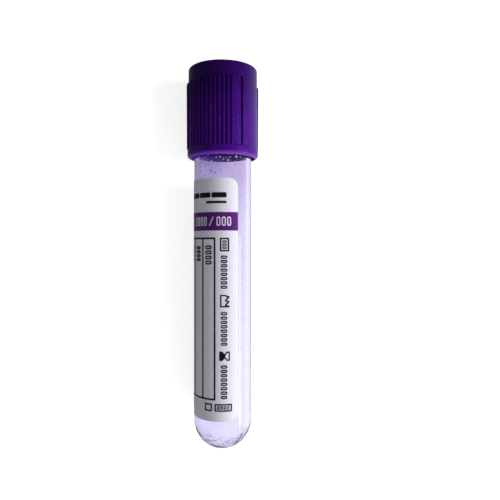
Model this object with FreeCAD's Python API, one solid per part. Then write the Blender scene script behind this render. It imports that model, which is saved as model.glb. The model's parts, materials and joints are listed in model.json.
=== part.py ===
"""Evacuated blood collection tube, 13 mm by 75 mm, with its closure fitted, lying at rest.

Each piece is built upright in the tube's own frame: the axis is +Z, the round tip is at
z = 0 and angles turn counterclockwise seen from the closure. lay_down() then puts the
tube on its side, carried by two grip ribs of the cap and by its round end.
Lengths are in millimetres and angles in degrees.
"""
import FreeCAD, Part
import math
import os

V = FreeCAD.Vector
AXIS = V(0, 0, 1)
ORIGIN = V(0, 0, 0)

# Tube: clear PET, hemispherical end with a gate mark
TUBE_R = 6.5
TUBE_LENGTH = 75.0
BORE_R = 5.5
BORE_END_R = 5.42
PARALLEL_BORE_Z = 64.0
RIM_ROUND = 0.3
RIM_LEAD_IN = 0.25
GATE_R = 0.85
GATE_TIP_R = 0.55
GATE_DROP = 0.22

# Closure: plastic cap shell over the tube's mouth
CAP_BOTTOM_Z = 65.65
CAP_TOP_Z = 85.8
CAP_TOP_R = 7.80
CAP_FOOT_R = 7.85
CAP_EDGE_ROUND = 0.35
COLLAR_R = 8.04
COLLAR_TOP_Z = 67.74
COLLAR_ROUND = 0.80
COLLAR_TOP_ROUND = 0.12
ROOF_Z = 84.5
ROOF_HOLE_R = 3.6
ROOF_HOLE_ROUND = 0.3
CAP_BORE_R = 6.95
SKIRT_MOUTH_R = 7.2
LIP_R = 6.68
LIP_BOTTOM_Z = 74.1
LIP_TOP_Z = 74.95

# Grip ribs: each half turn has a plain panel between two wide ribs, then a plain
# strip, a group of fine ribs and another plain strip
RIB_TOP_Z = 82.3
RIB_TOP_R = 8.25
RIB_FOOT_R = 8.19
RIB_END_SLOPE = 0.15
RIB_ROOT_R = 7.5
RIB_CORNER = 0.2
PANEL_CENTRES = (67.5, 247.5)
WIDE_RIB_OFFSET = 32.0
WIDE_RIB_WIDTH = 1.2
FINE_RIB_WIDTH = 0.56
FINE_RIB_PITCH = 6.8
FINE_RIBS = 12

# Rubber stopper, held in the cap above the lip
STOPPER_R = 6.90
FLANGE_BOTTOM_Z = 75.02
FLANGE_TOP_Z = 84.45
FLANGE_ROUND = 0.3
PLUG_BOTTOM_Z = 67.5
PLUG_R = 5.32
PLUG_LEAD_IN = 0.7
BEAD_R = 5.47
BEAD_CENTRES_Z = (69.8, 72.6)
BEAD_HALF = 0.7
WELL_R = 3.2
WELL_FLOOR_Z = 78.6
CAVITY_R = 2.7
CAVITY_TOP_Z = 74.2
HOLLOW_ROUND = 0.8

# Paper label, and the ink on it
LABEL_RIGHT = 29.9
LABEL_SWEEP = 173.5
LABEL_LEFT = LABEL_RIGHT - LABEL_SWEEP
LABEL_TOP_Z = 60.6
LABEL_BOTTOM_Z = 7.9
LABEL_R = 6.585
LABEL_CORNER = 2.0
INK_R = 6.615
BAND_TOP_Z = 53.2
BAND_BOTTOM_Z = 49.2

# Dried additive, sprayed on the wall of the bore as droplets
DROPS = 96
DROP_TOP_Z = 66.3
DROP_BOTTOM_Z = 20.0
DROP_CROWDING = 1.7
DROP_SMALL_R = 0.14
DROP_LARGE_R = 0.38
DROP_SIDES = 8
DROP_GAP = 0.004
DROP_RINGS = ((1.0, 0.0), (0.8, 0.32), (0.4, 0.52))
GOLDEN_TURN = 137.508
GOLDEN_FRACTION = 0.618034


def turned_point(radius, height):
    """A point of a turned profile, in the XZ plane."""
    return V(radius, 0, height)


def bend(centre_r, centre_z, radius, start_angle, end_angle):
    """Two profile steps: a line to an arc's start, then the arc; angles run from +X to +Z."""
    def at(angle):
        turn = math.radians(angle)
        return turned_point(centre_r + radius * math.cos(turn), centre_z + radius * math.sin(turn))
    return [at(start_angle), (at((start_angle + end_angle) / 2), at(end_angle))]


def profile(start, *steps):
    """A closed face: each step is a point, or the middle and end points of an arc."""
    edges = []
    here = start
    for step in steps + (start,):
        end = step[1] if isinstance(step, tuple) else step
        if (end - here).Length < 1e-7:
            continue
        if isinstance(step, tuple):
            edges.append(Part.Arc(here, step[0], end).toShape())
        else:
            edges.append(Part.LineSegment(here, end).toShape())
        here = end
    return Part.Face(Part.Wire(edges))


def turned(face, start=0.0, sweep=360.0):
    """Revolves a profile about the axis, from a start angle through a sweep."""
    solid = face.revolve(ORIGIN, AXIS, sweep)
    solid.rotate(ORIGIN, AXIS, start)
    return solid


def ring(inner_r, outer_r, low_z, high_z, start=0.0, sweep=360.0):
    """A plain ring, or a sector of one."""
    corners = [turned_point(r, z) for r, z in
               ((inner_r, low_z), (outer_r, low_z), (outer_r, high_z), (inner_r, high_z))]
    return turned(profile(*corners), start, sweep)


def bore_profile(mouth_z):
    """The tube's hollow: round end, slight taper, parallel length for the plug."""
    return profile(
        turned_point(0, TUBE_R - BORE_END_R),
        *bend(0, TUBE_R, BORE_END_R, -90, 0),
        turned_point(BORE_R, PARALLEL_BORE_Z),
        turned_point(BORE_R, mouth_z),
        turned_point(0, mouth_z))


def make_tube():
    gate_angle = math.degrees(math.acos(GATE_R / TUBE_R))
    outside = profile(
        turned_point(0, -GATE_DROP),
        turned_point(GATE_TIP_R, -GATE_DROP),
        *bend(0, TUBE_R, TUBE_R, -gate_angle, 0),
        *bend(TUBE_R - RIM_ROUND, TUBE_LENGTH - RIM_ROUND, RIM_ROUND, 0, 90),
        turned_point(0, TUBE_LENGTH))
    lead_in = profile(
        turned_point(0, TUBE_LENGTH - RIM_LEAD_IN),
        turned_point(BORE_R, TUBE_LENGTH - RIM_LEAD_IN),
        turned_point(BORE_R + RIM_LEAD_IN, TUBE_LENGTH),
        turned_point(0, TUBE_LENGTH))
    return turned(outside).cut([turned(bore_profile(TUBE_LENGTH)), turned(lead_in)])


def make_rib(width, angle):
    """One grip rib: rounded crest, leaning outwards with the cap's taper."""
    half = width / 2
    crest = RIB_FOOT_R - RIB_CORNER
    diagonal = RIB_CORNER * math.sqrt(0.5)
    foot_z = COLLAR_TOP_Z - COLLAR_TOP_ROUND
    outline = profile(
        V(RIB_ROOT_R, -half, foot_z),
        V(crest, -half, foot_z),
        (V(crest + diagonal, RIB_CORNER - half - diagonal, foot_z), V(RIB_FOOT_R, RIB_CORNER - half, foot_z)),
        V(RIB_FOOT_R, half - RIB_CORNER, foot_z),
        (V(crest + diagonal, half - RIB_CORNER + diagonal, foot_z), V(crest, half, foot_z)),
        V(RIB_ROOT_R, half, foot_z))
    rib = outline.extrude(V(RIB_TOP_R - RIB_FOOT_R, 0, RIB_TOP_Z - foot_z))
    rib.rotate(ORIGIN, AXIS, angle)
    return rib


def make_ribs():
    """All the grip ribs, with their top ends sloped back into the cap."""
    ribs = []
    for panel in PANEL_CENTRES:
        for side in (-1, 1):
            ribs.append(make_rib(WIDE_RIB_WIDTH, panel + side * WIDE_RIB_OFFSET))
        group_centre = panel + 90
        for index in range(FINE_RIBS):
            step = index - (FINE_RIBS - 1) / 2
            ribs.append(make_rib(FINE_RIB_WIDTH, group_centre + step * FINE_RIB_PITCH))
    envelope = turned(profile(
        turned_point(0, CAP_BOTTOM_Z),
        turned_point(RIB_TOP_R + 1, CAP_BOTTOM_Z),
        turned_point(RIB_TOP_R + 1, RIB_TOP_Z - RIB_END_SLOPE),
        turned_point(RIB_TOP_R, RIB_TOP_Z - RIB_END_SLOPE),
        turned_point(RIB_TOP_R - RIB_END_SLOPE, RIB_TOP_Z),
        turned_point(0, RIB_TOP_Z)))
    return [rib.common(envelope) for rib in ribs]


def make_cap_shell():
    inner_round = (COLLAR_R - COLLAR_ROUND - SKIRT_MOUTH_R)
    lip_middle_z = (LIP_BOTTOM_Z + LIP_TOP_Z) / 2
    lip_depth = CAP_BORE_R - LIP_R
    wall = profile(
        turned_point(SKIRT_MOUTH_R, CAP_BOTTOM_Z + inner_round),
        turned_point(SKIRT_MOUTH_R + inner_round, CAP_BOTTOM_Z),
        *bend(COLLAR_R - COLLAR_ROUND, CAP_BOTTOM_Z + COLLAR_ROUND, COLLAR_ROUND, -90, 0),
        *bend(COLLAR_R - COLLAR_TOP_ROUND, COLLAR_TOP_Z - COLLAR_TOP_ROUND, COLLAR_TOP_ROUND, 0, 90),
        turned_point(CAP_FOOT_R, COLLAR_TOP_Z),
        *bend(CAP_TOP_R - CAP_EDGE_ROUND, CAP_TOP_Z - CAP_EDGE_ROUND, CAP_EDGE_ROUND, 0, 90),
        *bend(ROOF_HOLE_R + ROOF_HOLE_ROUND, CAP_TOP_Z - ROOF_HOLE_ROUND, ROOF_HOLE_ROUND, 90, 180),
        turned_point(ROOF_HOLE_R, ROOF_Z),
        turned_point(CAP_BORE_R, ROOF_Z),
        turned_point(CAP_BORE_R, LIP_TOP_Z),
        turned_point(LIP_R, lip_middle_z + lip_depth / 2),
        turned_point(LIP_R, lip_middle_z - lip_depth / 2),
        turned_point(CAP_BORE_R, LIP_BOTTOM_Z))
    shell = turned(wall).fuse(make_ribs())
    return shell.removeSplitter()


def make_stopper():
    """Butyl plug with two sealing beads, a flange over the rim and a needle well."""
    beads = []
    for bead_z in BEAD_CENTRES_Z:
        beads += [
            turned_point(PLUG_R, bead_z - BEAD_HALF),
            (turned_point(BEAD_R, bead_z), turned_point(PLUG_R, bead_z + BEAD_HALF))]
    return turned(profile(
        turned_point(CAVITY_R, PLUG_BOTTOM_Z),
        turned_point(PLUG_R - PLUG_LEAD_IN, PLUG_BOTTOM_Z),
        turned_point(PLUG_R, PLUG_BOTTOM_Z + PLUG_LEAD_IN),
        *beads,
        turned_point(PLUG_R, FLANGE_BOTTOM_Z),
        *bend(STOPPER_R - FLANGE_ROUND, FLANGE_BOTTOM_Z + FLANGE_ROUND, FLANGE_ROUND, -90, 0),
        *bend(STOPPER_R - FLANGE_ROUND, FLANGE_TOP_Z - FLANGE_ROUND, FLANGE_ROUND, 0, 90),
        turned_point(WELL_R, FLANGE_TOP_Z),
        *bend(WELL_R - HOLLOW_ROUND, WELL_FLOOR_Z + HOLLOW_ROUND, HOLLOW_ROUND, 0, -90),
        turned_point(0, WELL_FLOOR_Z),
        turned_point(0, CAVITY_TOP_Z),
        *bend(CAVITY_R - HOLLOW_ROUND, CAVITY_TOP_Z - HOLLOW_ROUND, HOLLOW_ROUND, 90, 0)))


def arc_length_angle(length):
    """The angle that a length takes along the label's face."""
    return math.degrees(length / LABEL_R)


def make_label():
    """A paper rectangle with rounded corners, wrapped on the tube."""
    sheet = ring(TUBE_R, LABEL_R, LABEL_BOTTOM_Z, LABEL_TOP_Z, LABEL_LEFT, LABEL_SWEEP)
    overshoot = LABEL_CORNER + 1
    cutters = []
    for edge_angle, side in ((LABEL_LEFT, -1), (LABEL_RIGHT, 1)):
        for edge_z, end in ((LABEL_BOTTOM_Z, -1), (LABEL_TOP_Z, 1)):
            centre = V(TUBE_R / 2, 0, edge_z - end * LABEL_CORNER)
            block = Part.makeBox(TUBE_R, overshoot, overshoot, centre)
            if side < 0:
                block.translate(V(0, -overshoot, 0))
            if end < 0:
                block.translate(V(0, 0, -overshoot))
            block = block.cut(Part.makeCylinder(LABEL_CORNER, TUBE_R, centre, V(1, 0, 0)))
            block.rotate(ORIGIN, AXIS, edge_angle - side * arc_length_angle(LABEL_CORNER))
            cutters.append(block)
    return sheet.cut(cutters)


def outline_box(width, height, corner):
    """A box outline with cut corners, centred, across the tangent (Y) and the axis (Z)."""
    y = width / 2
    z = height / 2
    c = corner
    corners = ((c - y, -z), (y - c, -z), (y, c - z), (y, z - c), (y - c, z), (c - y, z), (-y, z - c), (-y, c - z))
    return profile(*[V(0, a, b) for a, b in corners])


def frame_box(width, height, stroke, corner):
    """A box drawn with a line of even width."""
    inner = outline_box(width - 2 * stroke, height - 2 * stroke, max(corner - stroke / 2, 0.02))
    return outline_box(width, height, corner).cut(inner)


def stamp(face, angle, height_z):
    """Pushes a flat shape through the ink layer, at an angle and a height."""
    block = face.extrude(V(TUBE_R, 0, 0))
    block.translate(V(TUBE_R / 2, 0, height_z))
    block.rotate(ORIGIN, AXIS, angle)
    return block


def zeros_down(count, angle, top_z, bottom_z, height, stroke):
    """A run of plain zeros that reads down the tube, each lying on its side."""
    pitch = (top_z - bottom_z) / count
    glyph = frame_box(height, pitch * 0.8, stroke, pitch * 0.25)
    return [stamp(glyph, angle, top_z - (index + 0.5) * pitch) for index in range(count)]


def zero_places(count, left, right):
    """The angles and the width of a run of zeros that fills an arc."""
    pitch = (right - left) / count
    angles = [left + (index + 0.5) * pitch for index in range(count)]
    return angles, math.radians(pitch) * LABEL_R * 0.78


def zeros_across(count, left, right, middle_z, height, stroke):
    """A run of plain zeros that reads around the tube, each upright."""
    angles, width = zero_places(count, left, right)
    glyph = frame_box(width, height, stroke, width * 0.3)
    return [stamp(glyph, angle, middle_z) for angle in angles]


def make_label_band(ink_layer):
    """The coloured band, with its zeros left in the label's white."""
    height, stroke = 2.0, 0.28
    middle_z = (BAND_BOTTOM_Z + BAND_TOP_Z) / 2
    slash = profile(V(0, -0.6, -1.0), V(0, -0.3, -1.0), V(0, 0.6, 1.0), V(0, 0.3, 1.0))
    windows = [stamp(slash, -22.5, middle_z)]
    islands = []
    for count, left, right in ((4, -129.6, -93.7), (2, -89.8, -71.5), (4, -65.6, -31.0), (3, -13.3, 17.0)):
        angles, width = zero_places(count, left, right)
        window = outline_box(width, height, width * 0.3)
        gap = width - 2 * stroke
        island = outline_box(gap, height - 2 * stroke, gap * 0.3)
        for angle in angles:
            windows.append(stamp(window, angle, middle_z))
            islands.append(stamp(island, angle, middle_z).common(ink_layer))
    band = ring(LABEL_R, INK_R, BAND_BOTTOM_Z, BAND_TOP_Z, LABEL_LEFT, LABEL_SWEEP)
    return Part.makeCompound([band.cut(windows)] + islands)


def make_form_frame():
    """The empty form: three columns inside one line."""
    left, right = -96.6, -15.7
    top_z, bottom_z = 47.5, 12.65
    line_width = 0.24
    strips = [ring(LABEL_R, INK_R, z - line_width / 2, z + line_width / 2, left, right - left)
              for z in (top_z, bottom_z)]
    sweep = arc_length_angle(line_width)
    for angle in (left, -68.7, -41.5, right):
        strips.append(ring(LABEL_R, INK_R, bottom_z, top_z, angle - sweep / 2, sweep))
    return strips[0].fuse(strips[1:]).removeSplitter()


def sand_glass():
    """A small sand glass lying on its side: one bulb full, one drawn in line."""
    half, waist, stroke = 0.9, 0.2, 0.2
    full = profile(V(0, -half, -half), V(0, -half, half), V(0, 0, waist), V(0, 0, -waist))
    empty = profile(V(0, 0, -waist), V(0, 0, waist), V(0, half, half), V(0, half, -half))
    inner = profile(V(0, 2 * stroke, -waist), V(0, 2 * stroke, waist),
                    V(0, half - stroke, half - 1.6 * stroke), V(0, half - stroke, 1.6 * stroke - half))
    return full.fuse(empty.cut(inner))


def saw_roof():
    """A small block with a saw-tooth side, drawn in line."""
    half, depth, stroke = 1.3, 0.95, 0.22
    outer = profile(V(0, -depth, -half), V(0, -depth, half), V(0, depth, half), V(0, 0.2, half / 3),
                    V(0, depth, half / 3), V(0, 0.2, -half / 3), V(0, depth, -half / 3), V(0, depth, -half))
    inner = outline_box(depth - stroke, 2 * (half - stroke), 0.05)
    inner.translate(V(0, -(depth + stroke) / 2, 0))
    return outer.cut(inner)


def make_label_print(ink_layer):
    """Black ink: form lines, generic zeros, plain bars and simple signs."""
    marks = [stamp(outline_box(1.7, 1.6, 0.02), LABEL_LEFT + arc_length_angle(0.9), 45.8)]
    marks += zeros_down(19, -116.2, 47.5, 30.9, 1.8, 0.3)
    for angle in (-121.0, -112.0, -103.0):
        marks.append(stamp(outline_box(0.32, 13.6, 0.05), angle, 22.6))

    for angle, top_z, bottom_z in ((-83.4, 46.1, 42.3), (-54.5, 45.9, 42.4), (-28.4, 46.1, 41.7)):
        marks += zeros_down(4, angle, top_z, bottom_z, 1.55, 0.26)

    strip = 2.3
    marks.append(stamp(frame_box(1.95, 2.9, 0.24, 0.05), 3.2, 46.15))
    marks += zeros_down(3, 3.2, 47.15, 45.15, 0.95, 0.16)
    for top_z, bottom_z in ((43.9, 36.5), (31.7, 24.2), (20.2, 12.7)):
        marks += zeros_down(8, strip, top_z, bottom_z, 1.3, 0.2)
    marks.append(stamp(saw_roof(), 3.2, 33.95))
    marks.append(stamp(sand_glass(), 3.2, 22.05))

    marks.append(stamp(frame_box(1.75, 1.6, 0.22, 0.2), -28.7, 10.9))
    marks.append(stamp(frame_box(3.75, 1.6, 0.22, 0.2), 0.8, 10.9))
    marks += zeros_across(4, -11.5, 13.0, 10.9, 0.8, 0.16)

    for angle, length in ((-66.5, 3.4), (-37.0, 2.9), (-7.5, 3.3)):
        marks.append(stamp(outline_box(length, 1.1, 0.2), angle, 56.9))
    marks.append(stamp(outline_box(4.6, 0.5, 0.1), -13.3, 55.35))

    printed = [mark.common(ink_layer) for mark in marks]
    return Part.makeCompound([make_form_frame()] + printed)


def make_drop(radius, wall_r, angle, z):
    """A low faceted dome whose flat foot stands on the bore's wall."""
    foot_r = math.sqrt(wall_r ** 2 - radius ** 2)
    rings = []
    for share, height in DROP_RINGS:
        corners = []
        for side in range(DROP_SIDES + 1):
            turn = math.tau * side / DROP_SIDES
            reach = radius * share
            corners.append(V(foot_r - height * radius, reach * math.cos(turn), reach * math.sin(turn)))
        rings.append(Part.makePolygon(corners))
    drop = Part.makeLoft(rings, True, True)
    drop.translate(V(0, 0, z))
    drop.rotate(ORIGIN, AXIS, angle)
    return drop


def make_additive_drops():
    """Domes of dried additive on the bore, crowded under the stopper."""
    places = []
    drops = []
    for index in range(DROPS):
        depth = (index / DROPS) ** DROP_CROWDING
        z = DROP_TOP_Z - depth * (DROP_TOP_Z - DROP_BOTTOM_Z)
        size = (index * GOLDEN_FRACTION * GOLDEN_FRACTION) % 1.0
        radius = DROP_SMALL_R + (DROP_LARGE_R - DROP_SMALL_R) * size ** 2
        wall_r = BORE_END_R + (BORE_R - BORE_END_R) * min(1.0, (z - TUBE_R) / (PARALLEL_BORE_Z - TUBE_R))
        angle = index * GOLDEN_TURN
        turn = math.radians(angle)
        centre = V(wall_r * math.cos(turn), wall_r * math.sin(turn), z)
        if all((centre - other).Length > radius + other_r for other, other_r in places):
            places.append((centre, radius))
            drops.append(make_drop(radius, wall_r - DROP_GAP, angle, z))
    return Part.makeCompound(drops)


def rest_on_ribs():
    """The angle that faces the table, and the radius that carries the cap there.

    The tube rests on the two ribs on either side of a plain strip: the last fine rib
    of one group and the first wide rib after it.
    """
    fine_angle = PANEL_CENTRES[0] + 90 + (FINE_RIBS - 1) / 2 * FINE_RIB_PITCH
    wide_angle = PANEL_CENTRES[1] - WIDE_RIB_OFFSET
    corners = []
    for angle, side, width in ((fine_angle, 1, FINE_RIB_WIDTH), (wide_angle, -1, WIDE_RIB_WIDTH)):
        corner = V(RIB_FOOT_R - RIB_CORNER, side * (width / 2 - RIB_CORNER), 0)
        corners.append(FreeCAD.Rotation(AXIS, angle).multVec(corner))
    across = corners[1] - corners[0]
    down = V(across.y, -across.x, 0).normalize()
    return math.degrees(math.atan2(down.y, down.x)), corners[0].dot(down) + RIB_CORNER


def rest_lean(carried_r):
    """How far the axis rises towards the cap when ribs and round end touch the table."""
    span = COLLAR_TOP_Z - COLLAR_TOP_ROUND - TUBE_R
    reach = math.hypot(carried_r, span)
    return math.degrees(math.acos(TUBE_R / reach) - math.atan2(span, carried_r))


def lay_down(shapes):
    """Lays the upright shapes on the table, centred over the origin."""
    rest_angle, carried_r = rest_on_ribs()
    lean = rest_lean(carried_r)
    for shape in shapes:
        shape.rotate(ORIGIN, AXIS, 90 - rest_angle)
        shape.rotate(ORIGIN, V(1, 0, 0), lean - 90)
    lift = TUBE_R * (1 - math.sin(math.radians(lean)))
    box = Part.makeCompound(shapes).optimalBoundingBox(False, False)
    shift = V(-(box.XMin + box.XMax) / 2, -(box.YMin + box.YMax) / 2, lift)
    for shape in shapes:
        shape.translate(shift)
    mouth = FreeCAD.Rotation(V(1, 0, 0), lean - 90).multVec(V(0, 0, TUBE_LENGTH)) + shift
    print("rest angle", round(rest_angle % 360, 4), "carried", round(carried_r, 4))
    print("lean", round(lean, 4), "tip", tuple(round(v, 4) for v in shift), "mouth", tuple(mouth))
    print("box", box)


def main():
    ink_layer = ring(LABEL_R, INK_R, LABEL_BOTTOM_Z, LABEL_TOP_Z)
    nodes = {
        "tube": make_tube(),
        "cap_shell": make_cap_shell(),
        "rubber_stopper": make_stopper(),
        "label": make_label(),
        "label_band": make_label_band(ink_layer),
        "label_print": make_label_print(ink_layer),
        "additive_drops": make_additive_drops(),
    }
    lay_down(list(nodes.values()))
    os.makedirs("parts", exist_ok=True)
    for name, shape in nodes.items():
        shape.exportStep("parts/" + name + ".step")
        print(name, shape.isValid(), "solids", len(shape.Solids), "volume", round(shape.Volume, 3))


if __name__ == "__main__":
    main()
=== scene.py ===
"""Looks of a blood collection tube that lies on a pale table with its cap towards +Y.

Every piece is modelled upright in millimetres: the tube's axis is Z, its round tip is at
z = 0, and angles are in degrees, counterclockwise seen from the cap, with 0 facing the camera.
lay_down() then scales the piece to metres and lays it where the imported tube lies.
"""
import json
import math

import bmesh
import bpy
from mathutils import Matrix, Vector


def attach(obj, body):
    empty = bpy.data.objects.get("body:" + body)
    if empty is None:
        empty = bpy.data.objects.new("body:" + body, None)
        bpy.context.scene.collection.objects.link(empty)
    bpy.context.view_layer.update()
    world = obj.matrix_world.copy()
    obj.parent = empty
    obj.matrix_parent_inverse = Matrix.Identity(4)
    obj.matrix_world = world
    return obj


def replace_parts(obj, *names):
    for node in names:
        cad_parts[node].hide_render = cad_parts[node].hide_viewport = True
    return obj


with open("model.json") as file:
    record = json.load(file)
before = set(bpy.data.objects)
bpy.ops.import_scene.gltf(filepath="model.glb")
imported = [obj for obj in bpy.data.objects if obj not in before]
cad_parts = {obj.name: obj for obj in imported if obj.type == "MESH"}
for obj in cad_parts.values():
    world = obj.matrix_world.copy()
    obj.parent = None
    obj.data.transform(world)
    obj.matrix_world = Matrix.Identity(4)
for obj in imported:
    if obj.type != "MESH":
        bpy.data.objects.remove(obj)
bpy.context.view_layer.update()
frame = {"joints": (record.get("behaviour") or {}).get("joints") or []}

MM = 0.001

# Corners closer than this, in millimetres, are one
MERGE_DISTANCE = 0.0005

# Tube
TUBE_R = 6.5
TUBE_LENGTH = 75.0
BORE_R = 5.5
BORE_END_R = 5.42
PARALLEL_BORE_Z = 64.0
RIM_ROUND = 0.3
RIM_LEAD_IN = 0.25
GATE_R = 0.85
GATE_TIP_R = 0.55
GATE_DROP = 0.22
TUBE_STEPS = 160

# Cap shell
CAP_BOTTOM_Z = 65.65
CAP_TOP_Z = 85.8
CAP_TOP_R = 7.80
CAP_FOOT_R = 7.85
CAP_EDGE_ROUND = 0.35
COLLAR_R = 8.04
COLLAR_TOP_Z = 67.74
COLLAR_ROUND = 0.80
COLLAR_TOP_ROUND = 0.12
ROOF_Z = 84.5
ROOF_HOLE_R = 3.6
ROOF_HOLE_ROUND = 0.3
CAP_BORE_R = 6.95
SKIRT_MOUTH_R = 7.2
LIP_R = 6.68
LIP_BOTTOM_Z = 74.1
LIP_TOP_Z = 74.95
CAP_STEPS = 160

# Grip ribs
RIB_TOP_Z = 82.3
RIB_TOP_R = 8.245
RIB_FOOT_R = 8.185
RIB_ROOT_R = 7.5
RIB_END_SLOPE = 0.15
RIB_ROUND = 0.18
PANEL_CENTRES = (67.5, 247.5)
WIDE_RIB_OFFSET = 32.0
WIDE_RIB_WIDTH = 1.2
FINE_RIB_WIDTH = 0.56
FINE_RIB_PITCH = 6.8
FINE_RIBS = 12

# Stopper
STOPPER_R = 6.90
FLANGE_BOTTOM_Z = 75.02
FLANGE_TOP_Z = 84.45
FLANGE_ROUND = 0.3
PLUG_BOTTOM_Z = 67.5
PLUG_R = 5.32
PLUG_LEAD_IN = 0.7
BEAD_R = 5.47
BEAD_CENTRES_Z = (69.8, 72.6)
BEAD_HALF = 0.7
WELL_R = 3.2
WELL_FLOOR_Z = 78.6
CAVITY_R = 2.7
CAVITY_TOP_Z = 74.2
HOLLOW_ROUND = 0.8
STOPPER_STEPS = 128

# Label
LABEL_RIGHT = 29.9
LABEL_SWEEP = 173.5
LABEL_LEFT = LABEL_RIGHT - LABEL_SWEEP
LABEL_TOP_Z = 60.6
LABEL_BOTTOM_Z = 7.9
LABEL_CORNER = 2.0
LABEL_INNER_R = 6.505
LABEL_R = 6.585
INK_THICKNESS = 0.03
COLUMN_WIDTH = 0.26
BAND_TOP_Z = 53.2
BAND_BOTTOM_Z = 49.2

# Print on the label: a place round the tube is an angle, sizes and heights are in millimetres.
# A title bar has an angle and a length, and a box at the foot an angle and a width. Zeros on the
# band have a count, a left and a right angle, and zeros in the form an angle, a top and a bottom.
SQUARE_CORNER = 0.05
LEAST_CORNER = 0.02
TITLE_BARS = ((-66.5, 3.4), (-37.0, 2.9), (-7.5, 3.3))
TITLE_Z = 56.9
SUBTITLE_ANGLE = -13.3
SUBTITLE_Z = 55.35
BAND_ZEROS = ((4, -129.6, -93.7), (2, -89.8, -71.5), (4, -65.6, -31.0), (3, -13.3, 17.0))
BAND_ZERO_HEIGHT = 2.0
BAND_STROKE = 0.28
SLASH_ANGLE = -22.5
SLASH_REACH = 0.6
SLASH_STROKE = 0.3
FORM_LEFT = -96.6
FORM_RIGHT = -15.7
FORM_DIVIDERS = (-68.7, -41.5)
FORM_TOP_Z = 47.5
FORM_BOTTOM_Z = 12.65
FORM_LINE = 0.36
FORM_ZEROS = ((-83.4, 46.1, 42.3), (-54.5, 45.9, 42.4), (-28.4, 46.1, 41.7))
FAR_BLOCK_Z = 45.8
FAR_ZEROS_ANGLE = -116.2
FAR_BARS_ANGLES = (-121.0, -112.0, -103.0)
SIGNS_ANGLE = 3.2
BOXED_ZEROS_Z = 46.15
SAW_BLOCK_Z = 33.95
SAND_GLASS_Z = 22.05
SIDE_ZEROS_ANGLE = 2.3
SIDE_ZEROS_Z = ((43.9, 36.5), (31.7, 24.2), (20.2, 12.7))
FOOT_BOXES = ((-28.7, 1.8), (0.8, 3.8))
FOOT_BOXES_Z = 10.9

# Additive dried on the wall of the bore; a large drop has an angle, a height and a radius
LARGE_DROPS = (
    (11, 65.9, 0.18), (16, 65.2, 0.17), (30, 65.4, 0.29), (1, 64.7, 0.20), (11, 64.5, 0.24),
    (-35, 64.7, 0.18), (-41, 65.3, 0.16), (-59, 65.5, 0.18), (-14, 65.1, 0.20), (-6, 65.2, 0.20),
    (-26, 64.4, 0.18), (-51, 64.3, 0.16), (-11, 63.7, 0.17), (6, 63.7, 0.18), (-41, 63.4, 0.18),
    (-55, 63.4, 0.16), (-26, 62.3, 0.29), (-5, 62.5, 0.20), (38, 61.9, 0.31), (-43, 61.4, 0.16),
    (-55, 62.4, 0.16))
DROP_TOP_Z = 66.0
DROP_BOTTOM_Z = 18.0
DROPS = 170
DROP_CROWDING = 1.9
DROP_SMALL_R = 0.12
DROP_LARGE_R = 0.25
DROP_HEIGHT = 0.6
DROP_SPACING = 1.6
GOLDEN_TURN = 137.508
GOLDEN_FRACTION = 0.618034

# Rest and camera; it rests on the last fine rib of one group and on the wide rib after it
REST_ANGLE = 203.826
CAMERA_DISTANCE = 114.0
CAMERA_Z = 46.5
CAMERA_TURN = 3.12
CAMERA_LENS = 35.8
CAMERA_SHIFT_Y = -0.014

# Floor and sky: a strength runs from its first to its second value along a direction, over a span,
# which is in metres on the floor, as its size and its drop below the tube are
FLOOR_SIZE = 3.0
FLOOR_DROP = 0.00002
FLOOR_GREY = (0.48, 0.48, 0.49, 1)
FLOOR_LIFT = 0.82
# In gloss the floor glows lighter towards the key, and through the tube towards the key and the tube's tip:
# painted light
FLOOR_PAINTED_LIGHT_IN_GLOSS = (0.08, 0.55)
FLOOR_GLOSS_TOWARDS = (1, 0, 0)
FLOOR_GLOSS_SPAN = (-0.02, 0.02)
FLOOR_PAINTED_LIGHT_THROUGH_TUBE = (0.20, 0.64)
FLOOR_LIFT_TOWARDS = (1, -0.5, 0)
FLOOR_LIFT_SPAN = (-0.014, 0.024)
SKY_LIGHT = 0.15
SKY_IN_GLOSS = (0.03, 0.70)
SKY_THROUGH_TUBE = (0.42, 0.85)
SKY_TOWARDS = (0.6, -0.35, -0.7)
SKY_SPAN = (-0.15, 0.5)

# Finishes: two colours are a darker and a lighter tone, two heights or radii are where one finish
# turns into the next
WALL_BARE = ((0.93, 0.925, 1.0, 1), (0.955, 0.95, 1.0, 1))
WALL_FILMED = ((0.88, 0.81, 0.98, 1), (0.90, 0.83, 0.99, 1))
WALL_FILM_Z = (50, 63)
WALL_FLOW_MARKS_Z = (1, 9)
WALL_TINT = (0.22, 0.09, 1.0, 1)
WALL_TINT_DENSITY = 75.0
WALL_IN_LAMPLIGHT = (0.97, 0.96, 0.99, 1)
# Painted highlight along the cap's thin lip, as if light came through its edge
CAP_LIP_PAINTED_HIGHLIGHT = ((0.135, 0.030, 0.34, 1), (0.155, 0.038, 0.37, 1))
CAP_LIP_HIGHLIGHT_Z = (65.6, 66.6)
# Painted light on the thin skirt, as if shining through it, turning to painted shade up the crown where the
# stopper backs it
CAP_SKIRT_PAINTED_GLOW = ((0.047, 0.0025, 0.185, 1), (0.055, 0.0032, 0.21, 1))
CAP_CROWN_PAINTED_SHADE = ((0.024, 0.0013, 0.098, 1), (0.029, 0.0017, 0.112, 1))
CAP_CROWN_SHADE_Z = (72, 84.5)
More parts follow.
